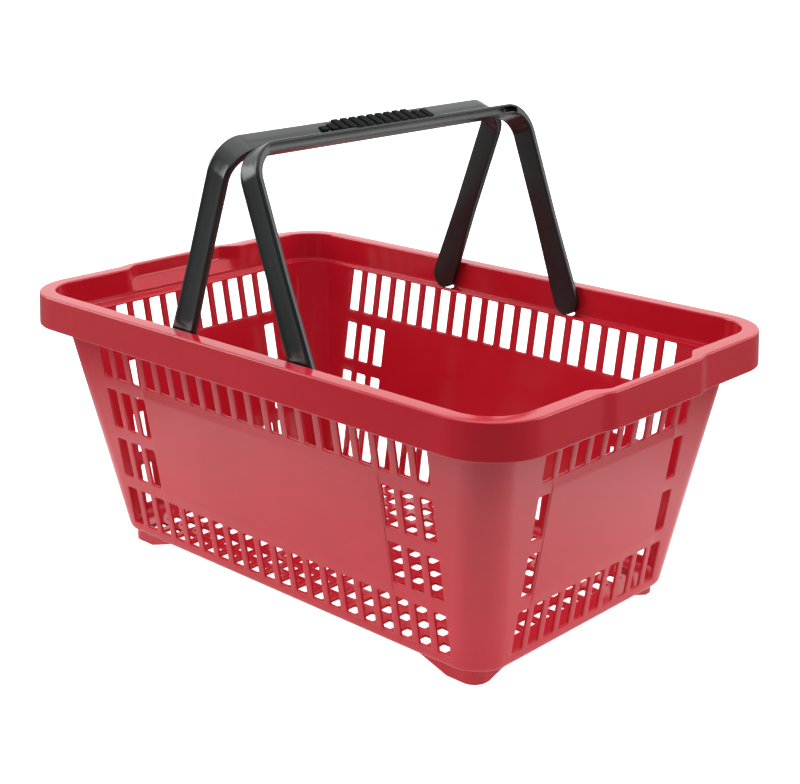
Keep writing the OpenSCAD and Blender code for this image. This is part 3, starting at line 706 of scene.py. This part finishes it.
def floor_material(group):
    """White near the basket; for reflections and bounced light it is dim farther out."""
    m = plastic("studio_floor", group, (.91, .91, .91), (.93, .93, .93), rough=.6, rough_span=.1,
                grain=40, cloud=3, flow=.2, bump=.05)
    tree = m.node_tree
    shader = tree.nodes["Principled BSDF"]
    where = tree.nodes.new("ShaderNodeTexCoord")
    reach = tree.nodes.new("ShaderNodeVectorMath")
    reach.operation = "LENGTH"
    tree.links.new(where.outputs["Object"], reach.inputs[0])
    far = remap(tree, reach.outputs["Value"], NEAR_REACH, FAR_REACH)
    camera_ray = tree.nodes.new("ShaderNodeLightPath").outputs["Is Camera Ray"]
    dim = maths(tree, "SUBTRACT", far, camera_ray)
    dim.node.use_clamp = True
    pale = shader.inputs["Base Color"].links[0].from_socket
    tree.links.new(blend(tree, dim, pale, FAR_FLOOR), shader.inputs["Base Color"])
    glow = blend(tree, dim, blend(tree, camera_ray, 1, SEEN_GLOW), 0)
    tree.links.new(glow, shader.inputs["Emission Color"])
    shader.inputs["Emission Strength"].default_value = FLOOR_GLOW
    return m


# ---------------------------------------------------------------- basket
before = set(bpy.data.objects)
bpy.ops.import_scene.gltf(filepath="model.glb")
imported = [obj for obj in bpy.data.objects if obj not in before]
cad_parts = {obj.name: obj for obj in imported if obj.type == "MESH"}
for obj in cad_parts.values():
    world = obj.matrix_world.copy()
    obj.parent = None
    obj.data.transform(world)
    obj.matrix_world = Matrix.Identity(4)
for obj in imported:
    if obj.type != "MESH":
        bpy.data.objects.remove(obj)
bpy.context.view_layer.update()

surface = moulded_group()
RED = plastic("red_polypropylene", surface, (.50, .008, .020), (.55, .012, .027), rough=.12,
              rough_span=.04, grain=900, cloud=9, flow=.3, bump=.03)
DARK = plastic("dark_grey_polypropylene", surface, (.008, .0095, .0095), (.014, .016, .016),
               rough=.22, rough_span=.06, grain=1800, cloud=16, flow=.4, bump=.08)
BLACK = plastic("grip_black", surface, (.005, .006, .006), (.009, .010, .010), rough=.55,
                rough_span=.1, grain=3200, cloud=30, flow=.2, bump=.2, shine=.04)

walls = build_walls(RED)
rim = build_rim(RED)
pad_row = row_tree()
handles = []
for side, word in ((-1, "left"), (1, "right")):
    strap = build_handle(side, "handle_%s_strap" % word, DARK)
    pads = build_pads(side, "handle_%s_grip_pads" % word, pad_row, BLACK)
    handles.append(("handle_" + word, strap, pads))
for obj in (walls, rim, *(strap for _, strap, _ in handles)):
    even_normals(obj)

for name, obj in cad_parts.items():
    obj.data.materials.clear()
    obj.data.materials.append(DARK if name.startswith("handle") else RED)

TUB_NODES = ("wall_", "corner_", "panel_", "basket_floor", "edge_")
RIM_NODES = ("rim_", "ledge_")
for obj, prefixes in ((walls, TUB_NODES), (rim, RIM_NODES)):
    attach(obj, "basket")
    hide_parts(*[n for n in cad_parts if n.startswith(prefixes)])
for body, strap, pads in handles:
    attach(strap, body)
    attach(pads, body)
    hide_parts(*[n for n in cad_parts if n.startswith(body)
                         and ("_bar" in n or "_bend" in n or "_leg" in n)])
    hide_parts(body + "_grip")


# ---------------------------------------------------------------- studio
def build_floor_plane():
    mesh = bpy.data.meshes.new("studio_floor")
    mesh.from_pydata([(x * FLOOR_HALF, y * FLOOR_HALF, 0)
                      for x, y in ((-1, -1), (1, -1), (1, 1), (-1, 1))], [], [(0, 1, 2, 3)])
    mesh.materials.append(floor_material(surface))
    floor = bpy.data.objects.new("studio_floor", mesh)
    bpy.context.scene.collection.objects.link(floor)


def build_world():
    """A studio that is bright overhead and behind the basket, and dim on the near side."""
    world = bpy.data.worlds.new("studio")
    world.use_nodes = True
    tree = world.node_tree
    background = tree.nodes["Background"]
    where = tree.nodes.new("ShaderNodeTexCoord")
    split = tree.nodes.new("ShaderNodeSeparateXYZ")
    tree.links.new(where.outputs["Generated"], split.inputs[0])
    away = maths(tree, "ADD", maths(tree, "MULTIPLY", split.outputs["X"], -.69),
                 maths(tree, "MULTIPLY", split.outputs["Y"], .72))
    sides = remap(tree, away, -.75, .35, DIM_SIDE, BRIGHT_SIDE, "SMOOTHSTEP")
    overhead = remap(tree, split.outputs["Z"], .25, .8, 0, OVERHEAD, "SMOOTHSTEP")
    path = tree.nodes.new("ShaderNodeLightPath")
    shown = tree.nodes.new("ShaderNodeMix")
    shown.inputs["B"].default_value = BACKDROP
    tree.links.new(path.outputs["Is Camera Ray"], shown.inputs["Factor"])
    tree.links.new(maths(tree, "MAXIMUM", sides, overhead), shown.inputs["A"])
    tree.links.new(shown.outputs["Result"], background.inputs["Strength"])
    background.inputs["Color"].default_value = (1, 1, 1, 1)
    return world


def add_lamp(name, place, aim, edge, power):
    data = bpy.data.lights.new(name, "AREA")
    data.size = edge
    data.energy = power
    obj = bpy.data.objects.new(name, data)
    obj.location = place
    obj.rotation_euler = (Vector(aim) - Vector(place)).to_track_quat("-Z", "Y").to_euler()
    bpy.context.scene.collection.objects.link(obj)


def add_camera():
    camera = bpy.data.objects.new("camera", bpy.data.cameras.new("camera"))
    camera.data.sensor_width = 36
    camera.data.sensor_fit = "HORIZONTAL"
    camera.data.lens = 70.02
    camera.location = (.7230, -.7520, .4733)
    camera.rotation_euler = (math.radians(71.81), 0, math.radians(43.24))
    bpy.context.scene.collection.objects.link(camera)
    bpy.context.scene.camera = camera


build_floor_plane()
bpy.context.scene.world = build_world()
bpy.context.scene.view_settings.view_transform = "Standard"
for settings in LAMPS:
    add_lamp(*settings)
add_camera()
